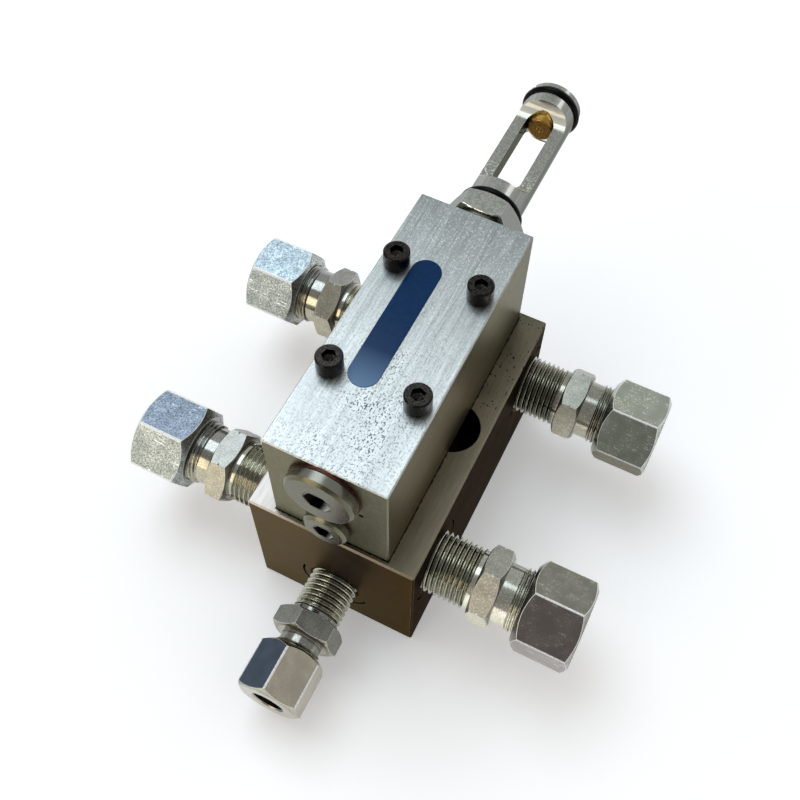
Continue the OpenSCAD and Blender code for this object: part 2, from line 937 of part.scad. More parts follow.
module ring_front_left()
  at_line(-1, front_line_y, front_left_out)
    line_ring();

module ring_rear_right()
  at_line(1, rear_line_y, rear_right_out)
    line_ring();

module ring_rear_left()
  at_line(-1, rear_line_y, rear_left_out)
    line_ring();

// puts a fitting part on the outlet port
module at_outlet()
  translate([0, base_front, outlet_height])
    rotate([90, 0, 0])
      children();

module stud_outlet()
  at_outlet()
    rotate([0, 0, 41])
      stud(outlet_thread, outlet_thread_showing, outlet_hex_at, outlet_hex_end, outlet_hex,
        outlet_neck_length, outlet_nut_thread, outlet_mouth, outlet_tube, outlet_bore);

module nut_outlet()
  at_outlet()
    rotate([0, 0, 33])
      union_nut(outlet_nut_at, outlet_nut_end, outlet_nut_hex, outlet_nut_thread,
        outlet_mouth, outlet_tube);

module ring_outlet()
  at_outlet()
    cutting_ring(outlet_mouth, outlet_tube);

metering_block();
manifold_base();
metering_piston();
indicator_rod();
pilot_piston();
end_plug();
end_plug_washer();
pilot_plug_front();
pilot_washer_front();
pilot_plug_rear();
pilot_washer_rear();
indicator_cage();
gland_washer();
rod_seal();
cage_ring_near();
cage_ring_far();
stop_screw();
name_label();
cap_screw_fl();
cap_screw_fr();
cap_screw_bl();
cap_screw_br();
lock_washer_fl();
lock_washer_fr();
lock_washer_bl();
lock_washer_br();
seal_line_front();
seal_cross_front();
seal_outlet();
seal_cross_rear();
seal_line_rear();
stud_front_right();
stud_front_left();
stud_rear_right();
stud_rear_left();
nut_front_right();
nut_front_left();
nut_rear_right();
nut_rear_left();
ring_front_right();
ring_front_left();
ring_rear_right();
ring_rear_left();
stud_outlet();
nut_outlet();
ring_outlet();
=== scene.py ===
"""Looks of the dual-line lubrication distributor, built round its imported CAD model.

Lengths are written in millimetres and turned to metres by MM. X runs across the block,
Y from the plugged front to the stroke indicator, Z up from the mounting face."""
import json
import math
from functools import partial

import bpy
from mathutils import Matrix, Vector


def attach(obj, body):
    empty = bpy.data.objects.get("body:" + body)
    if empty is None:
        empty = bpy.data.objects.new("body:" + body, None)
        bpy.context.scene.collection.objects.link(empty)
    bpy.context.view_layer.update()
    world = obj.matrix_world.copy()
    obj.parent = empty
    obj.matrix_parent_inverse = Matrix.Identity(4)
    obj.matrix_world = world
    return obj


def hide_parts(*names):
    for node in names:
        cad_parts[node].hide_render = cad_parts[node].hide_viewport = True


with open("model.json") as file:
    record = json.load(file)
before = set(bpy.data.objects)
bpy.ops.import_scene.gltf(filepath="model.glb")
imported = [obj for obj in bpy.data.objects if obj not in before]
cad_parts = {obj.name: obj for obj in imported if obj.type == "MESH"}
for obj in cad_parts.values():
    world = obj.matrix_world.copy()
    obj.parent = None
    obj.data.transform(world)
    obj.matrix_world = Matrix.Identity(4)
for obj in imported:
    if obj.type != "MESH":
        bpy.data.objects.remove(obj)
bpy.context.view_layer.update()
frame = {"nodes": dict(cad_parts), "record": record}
cad = frame["nodes"]
MM = 0.001

# stations of the CAD model, in millimetres
BASE_HALF_WIDTH = 29.5
BASE_FRONT = -53.5
BASE_TOP = 57.5
BLOCK_HALF_WIDTH = 20
BLOCK_MIDDLE_Y = -0.45
BLOCK_HALF_LENGTH = 51.25
METERING_Z = 91.5
PILOT_Z = 68.0
PRICK_MARK_X = 11.2
PRICK_MARK_Z = 83.5
MOUNT_HOLE_X = 17.3
COUNTERBORE_RADIUS = 9.5
LINE_Z = 35.3
LINE_FRONT_Y = -36.5
LINE_REAR_Y = 40.1
LINE_MIDDLE_Y = (LINE_FRONT_Y + LINE_REAR_Y) / 2
LINE_HALF_SPACING = (LINE_REAR_Y - LINE_FRONT_Y) / 2
LINE_THREAD_END = 44.0      # from the part's middle, as is the next
OUTLET_THREAD_END = 66.6
OUTLET_Z = 19.6

# screw threads along a fitting, in millimetres: outside and root diameter, pitch, first
# and last height over the port, bore, and the core that carries the thread
LINE_THREAD = {"major": 21.3, "minor": 19.05, "pitch": 1.814, "low": -9.2, "high": 14.0,
               "hole": 12.4, "core": 19.05064}
LINE_NUT_THREAD = {"major": 22.0, "minor": 20.16, "pitch": 1.5, "low": 28.3, "high": 36.0,
                   "hole": 19.0, "core": 20.16}
OUTLET_THREAD = {"major": 17.1, "minor": 14.9, "pitch": 1.85, "low": -9.2, "high": 12.9,
                 "hole": 8.4, "core": 14.8928}
OUTLET_NUT_THREAD = {"major": 16.0, "minor": 14.16, "pitch": 1.5, "low": 25.0,
                     "high": 31.0, "hole": 13.0, "core": 14.16}

# side fittings: side of the base, port's place along it, distance that the fitting stands
# out, and the angles at which its two threads start
LINE_FITTINGS = {
    "front_right": (1, LINE_FRONT_Y, 0.5, (28, 49)),
    "front_left": (-1, LINE_FRONT_Y, -0.8, (124, 217)),
    "rear_right": (1, LINE_REAR_Y, -0.7, (152, 266)),
    "rear_left": (-1, LINE_REAR_Y, 0.1, (228, 399)),
}
OUTLET_STARTS = (60, 200)


# Camera and studio
def aim_camera():
    """The photograph's view, solved from the edges of the block, base and fittings."""
    right = Vector((0.90010, 0.43436, 0.03398))
    down = Vector((0.37984, -0.74413, -0.54954))
    forward = Vector((-0.21341, 0.50755, -0.83478))
    place = Matrix.Translation(Vector((74.47, -155.51, 359.55)) * MM)
    turn = Matrix((right, -down, -forward)).transposed().to_4x4()
    data = bpy.data.cameras.new("photo_camera")
    data.sensor_width = 36.0
    data.lens = 46.34
    data.shift_x = -0.0434
    data.shift_y = -0.0739
    data.clip_start = 0.01
    data.clip_end = 20.0
    camera = bpy.data.objects.new("photo_camera", data)
    camera.matrix_world = place @ turn
    bpy.context.scene.collection.objects.link(camera)
    bpy.context.scene.camera = camera


def add_node(tree, kind, inputs=(), **settings):
    """Adds a shader node, or takes one that is there, with its settings and inputs; an
    input is a value, a socket, or a node's first live output."""
    node = tree.nodes.new("ShaderNode" + kind) if isinstance(kind, str) else kind
    for name, value in settings.items():
        setattr(node, name, value)
    pairs = inputs.items() if isinstance(inputs, dict) else enumerate(inputs)
    for key, value in pairs:
        if isinstance(key, int):
            socket = node.inputs[key]
        else:
            socket = next(s for s in node.inputs if s.enabled and s.name == key)
        if isinstance(value, bpy.types.Node):
            value = next(s for s in value.outputs if s.enabled)
        if isinstance(value, bpy.types.NodeSocket):
            tree.links.new(value, socket)
        else:
            socket.default_value = value
    return node


def colour(code):
    """An sRGB hex colour as the linear RGBA that Blender's sockets take."""
    parts = [int(code[k:k + 2], 16) / 255 for k in (1, 3, 5)]
    linear = [p / 12.92 if p <= 0.04045 else ((p + 0.055) / 1.055) ** 2.4 for p in parts]
    return (*linear, 1.0)


def seen_directly(tree):
    """1 for camera, glossy and transmission rays, 0 for the rays that carry light."""
    path = add_node(tree, "LightPath").outputs
    seen = add_node(tree, "Math", (path["Is Camera Ray"], path["Is Glossy Ray"]),
                    operation="ADD")
    return add_node(tree, "Math", (seen, path["Is Transmission Ray"]), operation="ADD",
                    use_clamp=True)


# name, bearing from +Y towards +X and height in degrees, distance and side in metres,
# power in watts, colour
LAMPS = [
    ("window_lamp", -66, 68, 1.60, 1.16, 9.3, "#e6f5ff"),
    ("front_lamp", -154, 20, 1.30, 0.80, 3.2, "#fff0dc"),
    ("far_window", 33, 36, 1.50, 0.40, 0.45, "#f6fbff"),
]
LAMP_AIM_HEIGHT = 0.06
ROOM_LIGHT = (0.25, 0.70)   # at the near wall and at the far one
WALL_TOP = (0.10, 0.14)     # sines of the heights between which the white wall ends
TABLE_LIFT = 0.23    # what camera, glossy and transmission rays see above the lit table


def light_studio():
    """An evenly lit room, with a high window on the left, a weaker warm lamp in front and
    a faint one behind on the right."""
    bpy.context.scene.view_settings.view_transform = "Standard"
    world = bpy.data.worlds.new("studio_room")
    bpy.context.scene.world = world
    world.use_nodes = True
    tree = world.node_tree
    tree.nodes.clear()
    towards = add_node(tree, "SeparateXYZ",
                       (add_node(tree, "TexCoord").outputs["Generated"],)).outputs
    level = add_node(tree, "MapRange", (towards["Y"], -0.85, 0.5, *ROOM_LIGHT))
    # camera, glossy and transmission rays see a low white wall behind the table's edge
    wall = add_node(tree, "MapRange", (towards["Z"], *WALL_TOP, 1.0, 0.0))
    wall = add_node(tree, "Math", (wall, seen_directly(tree)), operation="MULTIPLY")
    level = add_node(tree, "Math", (level, wall), operation="MAXIMUM")
    room = add_node(tree, "Background", {"Color": colour("#ffffff"), "Strength": level})
    add_node(tree, "OutputWorld", {"Surface": room})

    for name, bearing, height, distance, side, power, tint in LAMPS:
        data = bpy.data.lights.new(name, "AREA")
        data.shape = "DISK"
        data.size = side
        data.energy = power
        data.color = colour(tint)[:3]
        lamp = bpy.data.objects.new(name, data)
        bearing, height = math.radians(bearing), math.radians(height)
        away = Vector((math.sin(bearing) * math.cos(height),
                       math.cos(bearing) * math.cos(height), math.sin(height)))
        lamp.location = away * distance + Vector((0, 0, LAMP_AIM_HEIGHT))
        lamp.rotation_euler = (-away).to_track_quat("-Z", "Y").to_euler()
        bpy.context.scene.collection.objects.link(lamp)


def lay_table():
    """The pale table that carries the distributor and takes its soft shadow."""
    deselect()
    bpy.ops.mesh.primitive_plane_add(size=8.0, location=(0, 0, 0))
    table = bpy.context.object
    table.name = "studio_table"
    material = bpy.data.materials.new("matt_white_table")
    material.use_nodes = True
    tree = material.node_tree
    tree.nodes.clear()
    matt = add_node(tree, "BsdfDiffuse", {"Color": colour("#ffffff")})
    lift = add_node(tree, "Emission", {"Color": colour("#ffffff"), "Strength": TABLE_LIFT})
    lifted = add_node(tree, "AddShader", (matt, lift))
    both = add_node(tree, "MixShader", (seen_directly(tree), matt, lifted))
    add_node(tree, "OutputMaterial", {"Surface": both})
    table.data.materials.append(material)


# Modelling by hand
JOINED_FLATS = 0.6      # degrees between CAD triangles that lie in one flat face
SHARP_EDGE = 32         # degrees from which an edge is broken
SHADED_EDGE = 34        # degrees from which an edge is shaded sharp
THREAD_EDGE = 75        # the same on the threads
SWEEP_STEPS = 40
# one turn of thread: steps outwards as shares of its depth, along it of its pitch
FLANK = ((0, 0.03), (0.07, 0.06), (0.20, 0.08), (0.46, 0.16), (0.20, 0.08), (0.07, 0.06),
         (0, 0.06), (-0.07, 0.06), (-0.20, 0.08), (-0.46, 0.16), (-0.20, 0.08),
         (-0.07, 0.06), (0, 0.03))
STUD_EDGE = 0.28
INK_WIDTH = 0.8
INK_PROUD = 0.05


def deselect():
    """Leaves nothing selected, out of edit mode."""
    if bpy.context.object and bpy.context.object.mode != "OBJECT":
        bpy.ops.object.mode_set(mode="OBJECT")
    bpy.ops.object.select_all(action="DESELECT")


def pick(piece):
    """Makes a piece the only selected and active object."""
    deselect()
    piece.select_set(True)
    bpy.context.view_layer.objects.active = piece


def edit(piece, select):
    """Enters edit mode on a piece with the vertices selected for which select(co) is true."""
    pick(piece)
    bpy.ops.object.mode_set(mode="EDIT")
    bpy.ops.mesh.select_mode(type="VERT")
    bpy.ops.mesh.select_all(action="DESELECT")
    bpy.ops.object.mode_set(mode="OBJECT")
    for vertex in piece.data.vertices:
        vertex.select = bool(select(vertex.co / MM))
    bpy.ops.object.mode_set(mode="EDIT")


def edit_all():
    """Enters edit mode on the active piece with all of it selected."""
    bpy.ops.object.mode_set(mode="EDIT")
    bpy.ops.mesh.select_all(action="SELECT")


def done():
    bpy.ops.object.mode_set(mode="OBJECT")


def copy_of(node, name):
    """A copy of a CAD node's mesh with its loose triangles merged and flat faces joined."""
    piece = bpy.data.objects.new(name, cad[node].data.copy())
    bpy.context.scene.collection.objects.link(piece)
    edit(piece, lambda co: True)
    bpy.ops.mesh.customdata_custom_splitnormals_clear()
    bpy.ops.mesh.remove_doubles(threshold=0.0004 * MM)
    bpy.ops.mesh.dissolve_limited(angle_limit=math.radians(JOINED_FLATS))
    done()
    return piece


def soften(piece, width, finish, edge):
    """Breaks a piece's sharp edges to a small radius, in millimetres, with the edges in a
    finish of their own (on many pieces a white painted highlight) and the flats shaded flat."""
    piece.data.materials.clear()
    piece.data.materials.append(finish)
    piece.data.materials.append(edge)
    piece.data.polygons.foreach_set("material_index", [0] * len(piece.data.polygons))
    pick(piece)
    bevel = piece.modifiers.new("broken_edges", "BEVEL")
    bevel.width = width * MM
    bevel.segments = 2
    bevel.limit_method = "ANGLE"
    bevel.angle_limit = math.radians(SHARP_EDGE)
    bevel.material = 1
    bevel.use_clamp_overlap = True
    bpy.ops.object.modifier_apply(modifier=bevel.name)
    bpy.ops.object.shade_smooth_by_angle(angle=math.radians(SHADED_EDGE))
    flats = piece.modifiers.new("flat_shading", "WEIGHTED_NORMAL")
    flats.keep_sharp = True
    flats.weight = 80
    bpy.ops.object.modifier_apply(modifier=flats.name)


def helix_sleeve(name, thread):
    """A screw thread along +Z between its two heights, hollow inside.

    One flank profile is drawn by extruding a single point, swept round the axis by the
    Screw modifier, cut square at both ends and drilled."""
    pitch, low, high = thread["pitch"], thread["low"], thread["high"]
    deselect()
    bpy.ops.mesh.primitive_plane_add(size=MM, location=(thread["minor"] / 2 * MM, 0, 0))
    piece = bpy.context.object
    piece.name = name
    edit_all()
    bpy.ops.mesh.merge(type="CENTER")
    rise = (thread["major"] - thread["minor"]) / 2
    for out, up in FLANK:
        bpy.ops.mesh.extrude_region_move(
            TRANSFORM_OT_translate={"value": (out * rise * MM, 0, up * pitch * MM)})
    bpy.ops.mesh.select_all(action="SELECT")
    bpy.ops.transform.translate(value=(0, 0, (low - pitch) * MM))
    done()
    bpy.ops.object.transform_apply(location=True, rotation=False, scale=False)
    sweep = piece.modifiers.new("sweep", "SCREW")
    sweep.axis = "Z"
    sweep.angle = math.tau
    sweep.steps = SWEEP_STEPS
    sweep.render_steps = SWEEP_STEPS
    sweep.screw_offset = pitch * MM
    sweep.iterations = math.ceil((high - low) / pitch) + 2
    sweep.use_merge_vertices = True
    sweep.merge_threshold = 0.001 * MM
    bpy.ops.object.modifier_apply(modifier=sweep.name)
    edit_all()
    bpy.ops.mesh.remove_doubles(threshold=0.002 * MM)
    for height, side in ((low, "clear_inner"), (high, "clear_outer")):
        bpy.ops.mesh.select_all(action="SELECT")
        bpy.ops.mesh.bisect(plane_co=(0, 0, height * MM), plane_no=(0, 0, 1), use_fill=True,
                            **{side: True})
    bpy.ops.mesh.select_all(action="SELECT")
    bpy.ops.mesh.normals_make_consistent(inside=False)
    done()
    drill(piece, thread["hole"], low - 1, high + 1)
    return piece


def drill(piece, width, low, high):
    """Cuts a round hole along Z through a piece."""
    deselect()
    bpy.ops.mesh.primitive_cylinder_add(vertices=64, radius=width / 2 * MM,
                                        depth=(high - low) * MM,
                                        location=(0, 0, (low + high) / 2 * MM))
    cutter = bpy.context.object
    pick(piece)
    cut = piece.modifiers.new("drilled", "BOOLEAN")
    cut.operation = "DIFFERENCE"
    cut.solver = "EXACT"
    cut.object = cutter
    bpy.ops.object.modifier_apply(modifier=cut.name)
    bpy.data.objects.remove(cutter)


def marker_arc(name, radius, first, last):
    """A thin arc of ink lying on z = 0 round the origin, between two angles in degrees."""
    deselect()
    bpy.ops.mesh.primitive_torus_add(major_segments=72, minor_segments=8,
                                     major_radius=radius * MM,
                                     minor_radius=INK_WIDTH / 2 * MM)
    piece = bpy.context.object
    piece.name = name
    edit_all()
    bpy.ops.transform.resize(value=(1, 1, 2 * INK_PROUD / INK_WIDTH),
                             center_override=(0, 0, 0))
    for turn, way in ((first, 1), (last, -1)):
        turn = math.radians(turn)
        bpy.ops.mesh.select_all(action="SELECT")
        bpy.ops.mesh.bisect(plane_co=(0, 0, 0), use_fill=True, clear_outer=True,
                            plane_no=(way * math.sin(turn), -way * math.cos(turn), 0))
    done()
    return piece


def join(pieces, name):
    """Joins pieces into the first one."""
    deselect()
    for piece in pieces:
        piece.select_set(True)
    bpy.context.view_layer.objects.active = pieces[0]
    bpy.ops.object.join()
    pieces[0].name = name
    return pieces[0]


def line_place(side, y, out):
    """The matrix that puts a fitting drawn along +Z on its side port."""
    place = Matrix.Translation(Vector((side * (BASE_HALF_WIDTH + out), y, LINE_Z)) * MM)
    return place @ Matrix.Rotation(side * math.pi / 2, 4, "Y")


def outlet_place():
    """The matrix that puts a fitting drawn along +Z on the outlet port."""
    place = Matrix.Translation(Vector((0, BASE_FRONT, OUTLET_Z)) * MM)
    return place @ Matrix.Rotation(math.pi / 2, 4, "X")


def threaded_stud(node, place, finish, stud_thread, nut_thread, sleeves, starts):
    """A fitting body with real threads: its plain CAD threads shrink to their cores."""
    piece = copy_of(node, node + "_threaded")
    piece.data.transform(place.inverted())
    for thread, within in ((stud_thread, lambda z: z < stud_thread["high"] + 0.01),
                           (nut_thread, lambda z: z > nut_thread["low"] - 0.01)):
        outside = thread["major"] / 2
        core = thread["core"] / thread["major"]
        edit(piece, lambda co: abs(math.hypot(co.x, co.y) - outside) < 0.03
             and within(co.z))
        bpy.ops.transform.resize(value=(core, core, 1), center_override=(0, 0, 0))
        done()
    soften(piece, STUD_EDGE, finish, WORN_EDGE)
    parts = [piece]
    for sleeve, start in zip(sleeves, starts):
        turned = bpy.data.objects.new("thread", sleeve.data.copy())
        bpy.context.scene.collection.objects.link(turned)
        turned.data.transform(Matrix.Rotation(math.radians(start), 4, "Z"))
        turned.data.materials.append(finish)
        pick(turned)
        bpy.ops.object.shade_smooth_by_angle(angle=math.radians(THREAD_EDGE))
        parts.append(turned)
    piece = join(parts, node + "_threaded")
    piece.data.transform(place)
    return piece


def keep(piece, *nodes, body="housing", slot):
    """Sets a finished piece in its CAD nodes' stead."""
    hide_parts(*nodes)
    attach(piece, body)


# Finishes
NOISE = (0.3, 0.7)      # the range that a noise texture mostly fills


def start_finish(name):
    """A new finish: its material, a node adder, its shader, the place on the piece, that
    place's coordinates, and the direction that the surface faces along the same axes."""
    material = bpy.data.materials.new(name)
    material.use_nodes = True
    tree = material.node_tree
    tree.nodes.clear()
    add = partial(add_node, tree)
    shader = add("BsdfPrincipled")
    add("OutputMaterial", {"Surface": shader})
    here = add("TexCoord").outputs
    at = add("SeparateXYZ", (here["Object"],)).outputs
    facing = add("SeparateXYZ", (here["Normal"],)).outputs
    return material, add, shader, here["Object"], at, facing


def per_mm(x, y=None, z=None):
    """A Mapping node's scale for grains that measure x, y and z millimetres."""
    return tuple(1 / (size * MM) for size in (x, y or x, z or x))


def ground_block_steel():
    """Zinc plate on ground steel bar. Its top shows lengthwise grinding lines, with fine
    pin-holes thickest in front and bright specks behind. Its sides and front are painted
    dull dark brown as shade, and its top darker towards the back as its reflection of the
    window fades.
    The lines and pin-holes are several times as coarse as real ones, so that they show."""
    material, add, shader, place, at, facing = start_finish("ground_zinc_plated_steel")
    lines, bands, grit = [
        add("TexNoise", {"Vector": add("Mapping", {"Vector": place,
                         "Scale": per_mm(*grain)}), "Scale": 1.0, "Detail": detail})
        for grain, detail in (((0.22, 9, 0.22), 2.0), ((1.6, 60, 1.6), 2.0),
                              ((0.42, 0.6, 0.42), 1.0))]
    cloud = add("TexNoise", {"Vector": place, "Scale": 1 / (16 * MM), "Detail": 2.0})

    # how far the surface faces up and forwards
    up = add("MapRange", (facing["Z"], 0.3, 0.7, 0.0, 1.0))
    front = add("MapRange", (facing["Y"], -0.4, -0.7, 0.0, 1.0))
    # painted shade: the front face and the sides are painted darker than the top, the front
    # paler on the right, the sides paler and bluer towards the back; the top is painted darker
    # towards the back as its reflection of the window fades
    front_tone = add("Mix", {"Factor": add("MapRange", (at["X"], -14 * MM, 14 * MM, 0.0, 1.0)),
                             "A": colour("#6f6c59"), "B": colour("#82816f")}, data_type="RGBA")
    side_tone = add("Mix", {"Factor": add("MapRange", (at["Y"], 8 * MM, 50 * MM, 0.0, 1.0)),
                            "A": colour("#6a6350"), "B": colour("#4e4e44")}, data_type="RGBA")
    top_tone = add("Mix", {"Factor": add("MapRange", (at["Y"], -10 * MM, 50 * MM, 0.0, 1.0)),
                           "A": colour("#babebd"), "B": colour("#949998")}, data_type="RGBA")
    ground = add("Mix", {"Factor": front, "A": side_tone, "B": front_tone}, data_type="RGBA")
    ground = add("Mix", {"Factor": up, "A": ground, "B": top_tone}, data_type="RGBA")

    # the joint with the base is black, and the small prick mark in the front is painted black
    # as the shade in its hole
    ragged = add("MapRange", (cloud, *NOISE, -0.25 * MM, 0.35 * MM))
    seam = add("Math", (at["Z"], ragged), operation="ADD")
    seam = add("MapRange", (seam, (BASE_TOP + 0.5) * MM, (BASE_TOP + 0.8) * MM, 0.03, 1.0))
    mark = add("CombineXYZ", (
        add("Math", (at["X"], PRICK_MARK_X * MM), operation="SUBTRACT"),
        add("Math", (at["Z"], PRICK_MARK_Z * MM), operation="SUBTRACT")))
    mark = add("VectorMath", (mark,), operation="LENGTH").outputs["Value"]
    mark = add("MapRange", (mark, 0.9 * MM, 0.75 * MM, 0.0, 0.99))
    mark = add("Math", (mark, add("MapRange", (at["Y"], -45 * MM, -48 * MM, 0.0, 1.0))),
               operation="MULTIPLY")
    unmarked = add("Math", (1.0, mark), operation="SUBTRACT")
    # pin-holes, thickest in the middle and in front
    holes = add("MapRange", (grit, 0.43, 0.37, 0.0, 1.0))
    thick = add("MapRange", (at["Y"], -30 * MM, 25 * MM, 0.4, 0.04))
    thick = add("Math", (thick, add("MapRange", (cloud, 0.4, 0.62, 0.3, 1.2))),
                operation="MULTIPLY")
    middle = add("Math", (add("Math", (at["X"], 2 * MM), operation="SUBTRACT"),),
                 operation="ABSOLUTE")
    thick = add("Math", (thick, add("MapRange", (middle, 4 * MM, 14 * MM, 2.0, 0.7))),
                operation="MULTIPLY")
    for share in (thick, up):
        holes = add("Math", (holes, share), operation="MULTIPLY")
    specks = add("MapRange", (grit, 0.62, 0.68, 0.0, 0.5))
    behind = add("MapRange", (at["Y"], 5 * MM, 40 * MM, 0.0, 1.0))

    shade = add("MapRange", (lines, *NOISE, 0.76, 1.18))
    for factor in (add("MapRange", (bands, *NOISE, 0.88, 1.1)),
                   add("MapRange", (cloud, *NOISE, 0.94, 1.05)),
                   add("MapRange", (grit, *NOISE, 0.9, 1.08)),
                   seam, unmarked,
                   add("Math", (1.0, holes), operation="SUBTRACT"),
                   add("Math", (specks, behind, 1.0), operation="MULTIPLY_ADD")):
        shade = add("Math", (shade, factor), operation="MULTIPLY")
    clean = add("Math", (seam, unmarked), operation="MULTIPLY")
    relief = add("Math", (add("Math", (holes, -1.5), operation="MULTIPLY"), lines),
                 operation="ADD")
    add(shader, {
        "Base Color": add("Mix", {"Factor": 1.0, "A": ground, "B": shade},
                          data_type="RGBA", blend_type="MULTIPLY"),
        "Metallic": 1.0,
        "Specular Tint": add("Mix", {"Factor": clean, "A": colour("#1c1a16"),
                                     "B": colour("#f6f2e4")}, data_type="RGBA"),
        "Roughness": add("MapRange", (lines, *NOISE, 0.33, 0.45)),
        "Normal": add("Bump", {"Height": relief, "Strength": 0.3, "Distance": 0.02 * MM})})
    return material


def milled_base_steel():
    """Zinc plate on milled steel, oiled and dull: brown-grey, with black pits along the top
    strip behind the mounting hole. The counterbores are painted black as shade; the right
    side and the front's right end are painted dark as shade, the whole is painted darker
    towards the back, and the top's left end is painted pale as a highlight. The milling
    lines are several times as coarse as real ones, so that they show."""
    material, add, shader, place, at, facing = start_finish("milled_zinc_plated_steel")
    lines, pit_grain = [
        add("TexNoise", {"Vector": add("Mapping", {"Vector": place,
                         "Scale": per_mm(*grain)}), "Scale": 1.0, "Detail": 2.0})
        for grain in ((0.3, 8, 0.3), (0.9, 1.2, 0.9))]
    cloud, pit_patch = [
        add("TexNoise", {"Vector": place, "Scale": 1 / (size * MM), "Detail": detail})
        for size, detail in ((11, 3.0), (5, 1.0))]
    front = add("MapRange", (facing["Y"], -0.4, -0.7, 0.0, 1.0))
    up = add("MapRange", (facing["Z"], 0.3, 0.7, 0.0, 1.0))
    # painted light: the front is painted darker to the right as shade, and the top paler at
    # its left end as a highlight
    front_tone = add("Mix", {"Factor": add("MapRange", (at["X"], 2 * MM, 26 * MM, 0.0, 1.0)),
                             "A": colour("#5b4f4b"), "B": colour("#3c2c2e")},
                     data_type="RGBA")
    top_tone = add("Mix", {"Factor": add("MapRange", (at["X"], -25 * MM, -10 * MM, 0.0, 1.0)),
                           "A": colour("#b9b2ad"), "B": colour("#7f7866")}, data_type="RGBA")
    # painted shade: the right side is painted dark, the back and the left side paler
    clean = add("Math", (add("MapRange", (facing["Y"], 0.6, 0.9, 0.0, 1.0)),
                         add("MapRange", (facing["X"], -0.6, -0.9, 0.0, 1.0))),
                operation="MAXIMUM")
    side_tone = add("Mix", {"Factor": clean, "A": colour("#463c34"), "B": colour("#7d7068")},
                    data_type="RGBA")
    ground = add("Mix", {"Factor": front, "A": side_tone, "B": front_tone}, data_type="RGBA")
    ground = add("Mix", {"Factor": up, "A": ground, "B": top_tone}, data_type="RGBA")

    pits = add("MapRange", (pit_grain, 0.37, 0.34, 0.0, 1.0))
    for share in (add("MapRange", (pit_patch, 0.42, 0.5, 0.0, 1.0)),
                  add("MapRange", (at["Y"], 6 * MM, 12 * MM, 0.0, 1.0)), up):
        pits = add("Math", (pits, share), operation="MULTIPLY")
    # distance from the axis of the nearer mounting hole
    sideways = add("Math", (at["X"],), operation="ABSOLUTE")
    beside = add("Math", (sideways, MOUNT_HOLE_X * MM), operation="SUBTRACT")
    from_axis = add("VectorMath", (add("CombineXYZ", (beside, at["Y"])),),
                    operation="LENGTH").outputs["Value"]
    # painted shade: the counterbores are painted near black
    in_hole = add("MapRange", (from_axis, (COUNTERBORE_RADIUS + 0.12) * MM,
                               (COUNTERBORE_RADIUS + 0.06) * MM, 0.0, 1.0))
    # grease drawn into the joint round the block, ragged
    along = add("Math", (at["Y"], BLOCK_MIDDLE_Y * MM), operation="SUBTRACT")
    out_x = add("Math", (sideways, BLOCK_HALF_WIDTH * MM), operation="SUBTRACT")
    out_y = add("Math", (add("Math", (along,), operation="ABSOLUTE"),
                         BLOCK_HALF_LENGTH * MM), operation="SUBTRACT")
    beside = add("Math", (out_x, out_y), operation="MAXIMUM")
    ragged = add("MapRange", (pit_grain, *NOISE, 0.45 * MM, 0.05 * MM))
    joint = add("MapRange", (add("Math", (beside, ragged), operation="SUBTRACT"),
                             -0.05 * MM, 0.05 * MM, 0.12, 1.0))

    shade = add("MapRange", (lines, *NOISE, 0.88, 1.1))
    for factor in (add("MapRange", (cloud, *NOISE, 0.84, 1.1)),
                   add("MapRange", (pits, 0.0, 1.0, 1.0, 0.08)),
                   add("MapRange", (in_hole, 0.0, 1.0, 1.0, 0.04)),
                   # painted shade: darker towards the back
                   add("MapRange", (at["Y"], 10 * MM, 45 * MM, 1.0, 0.66)), joint):
        shade = add("Math", (shade, factor), operation="MULTIPLY")
    # painted shade: the right side's specular tint is darkened
    side = add("MapRange", (facing["X"], 0.6, 0.9, 0.0, 1.0))
    relief = add("Math", (add("Math", (pits, -2.0), operation="MULTIPLY"), lines),
                 operation="ADD")
    add(shader, {
        "Base Color": add("Mix", {"Factor": 1.0, "A": ground, "B": shade},
                          data_type="RGBA", blend_type="MULTIPLY"),
        "Metallic": 1.0,
        "Specular Tint": add("Mix", {"Factor": side, "A": colour("#d8ceae"),
                                     "B": colour("#8c8070")}, data_type="RGBA"),
        "Roughness": add("MapRange", (cloud, *NOISE, 0.36, 0.46)),
        "Normal": add("Bump", {"Height": relief, "Strength": 0.3, "Distance": 0.03 * MM})})
    return material


